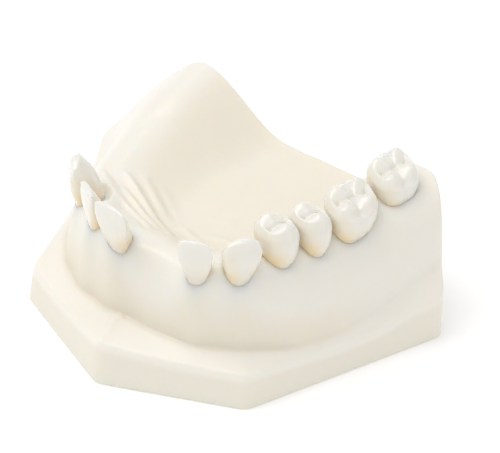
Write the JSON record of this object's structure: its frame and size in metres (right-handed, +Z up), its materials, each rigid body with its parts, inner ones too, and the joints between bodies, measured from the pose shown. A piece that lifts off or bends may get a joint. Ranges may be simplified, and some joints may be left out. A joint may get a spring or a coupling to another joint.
{
  "type": "typodont model",
  "caption": "Upper teaching jaw on an angle-trimmed base, with a toothless left ridge, one missing front tooth and screw-held lift-out teeth.",
  "frame": {"origin": "middle of the flat underside, at the centre of the object's plan", "axes": "+Z up from the underside through the teeth, -Y to the front of the mouth, +X to the wearer's right"},
  "size_m": [0.0776, 0.0608, 0.0309],
  "materials": {
    "ivory_plastic": "satin moulded",
    "tooth_enamel": "polished",
    "screw_steel": "bright machined"
  },
  "bodies": {
    "jaw": {"jaw_base": "ivory_plastic"},
    "right_lateral_incisor": {"right_lateral_incisor": "tooth_enamel"},
    "right_lateral_incisor_screw": {"right_lateral_incisor_screw": "screw_steel"},
    "right_canine": {"right_canine": "tooth_enamel"},
    "right_canine_screw": {"right_canine_screw": "screw_steel"},
    "right_first_premolar": {"right_first_premolar": "tooth_enamel"},
    "right_first_premolar_screw": {"right_first_premolar_screw": "screw_steel"},
    "right_second_premolar": {"right_second_premolar": "tooth_enamel"},
    "right_second_premolar_screw": {"right_second_premolar_screw": "screw_steel"},
    "right_first_molar": {"right_first_molar": "tooth_enamel"},
    "right_first_molar_screw": {"right_first_molar_screw": "screw_steel"},
    "right_second_molar": {"right_second_molar": "tooth_enamel"},
    "right_second_molar_screw": {"right_second_molar_screw": "screw_steel"},
    "left_central_incisor": {"left_central_incisor": "tooth_enamel"},
    "left_central_incisor_screw": {"left_central_incisor_screw": "screw_steel"},
    "left_lateral_incisor": {"left_lateral_incisor": "tooth_enamel"},
    "left_lateral_incisor_screw": {"left_lateral_incisor_screw": "screw_steel"},
    "left_canine": {"left_canine": "tooth_enamel"},
    "left_canine_screw": {"left_canine_screw": "screw_steel"}
  },
  "joints": [
    {"name": "right_lateral_incisor_pull", "type": "slide", "parent": "jaw", "child": "right_lateral_incisor", "axis": [0.0476, -0.1122, 0.9925], "range_m": [0, 0.012]},
    {"name": "right_lateral_incisor_screw_out", "type": "slide", "parent": "jaw", "child": "right_lateral_incisor_screw", "axis": [-0.0476, 0.1122, -0.9925], "range_m": [0, 0.02]},
    {"name": "right_canine_pull", "type": "slide", "parent": "jaw", "child": "right_canine", "axis": [0.0877, -0.0569, 0.9945], "range_m": [0, 0.012]},
    {"name": "right_canine_screw_out", "type": "slide", "parent": "jaw", "child": "right_canine_screw", "axis": [-0.0877, 0.0569, -0.9945], "range_m": [0, 0.02]},
    {"name": "right_first_premolar_pull", "type": "slide", "parent": "jaw", "child": "right_first_premolar", "axis": [0.051, -0.0118, 0.9986], "range_m": [0, 0.012]},
    {"name": "right_first_premolar_screw_out", "type": "slide", "parent": "jaw", "child": "right_first_premolar_screw", "axis": [-0.051, 0.0118, -0.9986], "range_m": [0, 0.02]},
    {"name": "right_second_premolar_pull", "type": "slide", "parent": "jaw", "child": "right_second_premolar", "axis": [0.0508, -0.0127, 0.9986], "range_m": [0, 0.012]},
    {"name": "right_second_premolar_screw_out", "type": "slide", "parent": "jaw", "child": "right_second_premolar_screw", "axis": [-0.0508, 0.0127, -0.9986], "range_m": [0, 0.02]},
    {"name": "right_first_molar_pull", "type": "slide", "parent": "jaw", "child": "right_first_molar", "axis": [0.0508, -0.0127, 0.9986], "range_m": [0, 0.012]},
    {"name": "right_first_molar_screw_out", "type": "slide", "parent": "jaw", "child": "right_first_molar_screw", "axis": [-0.0508, 0.0127, -0.9986], "range_m": [0, 0.02]},
    {"name": "right_second_molar_pull", "type": "slide", "parent": "jaw", "child": "right_second_molar", "axis": [0.0518, -0.0073, 0.9986], "range_m": [0, 0.012]},
    {"name": "right_second_molar_screw_out", "type": "slide", "parent": "jaw", "child": "right_second_molar_screw", "axis": [-0.0518, 0.0073, -0.9986], "range_m": [0, 0.02]},
    {"name": "left_central_incisor_pull", "type": "slide", "parent": "jaw", "child": "left_central_incisor", "axis": [-0.0136, -0.1558, 0.9877], "range_m": [0, 0.012]},
    {"name": "left_central_incisor_screw_out", "type": "slide", "parent": "jaw", "child": "left_central_incisor_screw", "axis": [0.0136, 0.1558, -0.9877], "range_m": [0, 0.02]},
    {"name": "left_lateral_incisor_pull", "type": "slide", "parent": "jaw", "child": "left_lateral_incisor", "axis": [-0.0628, -0.1045, 0.9925], "range_m": [0, 0.012]},
    {"name": "left_lateral_incisor_screw_out", "type": "slide", "parent": "jaw", "child": "left_lateral_incisor_screw", "axis": [0.0628, 0.1045, -0.9925], "range_m": [0, 0.02]},
    {"name": "left_canine_pull", "type": "slide", "parent": "jaw", "child": "left_canine", "axis": [-0.0867, -0.0585, 0.9945], "range_m": [0, 0.012]},
    {"name": "left_canine_screw_out", "type": "slide", "parent": "jaw", "child": "left_canine_screw", "axis": [0.0867, 0.0585, -0.9945], "range_m": [0, 0.02]}
  ]
}
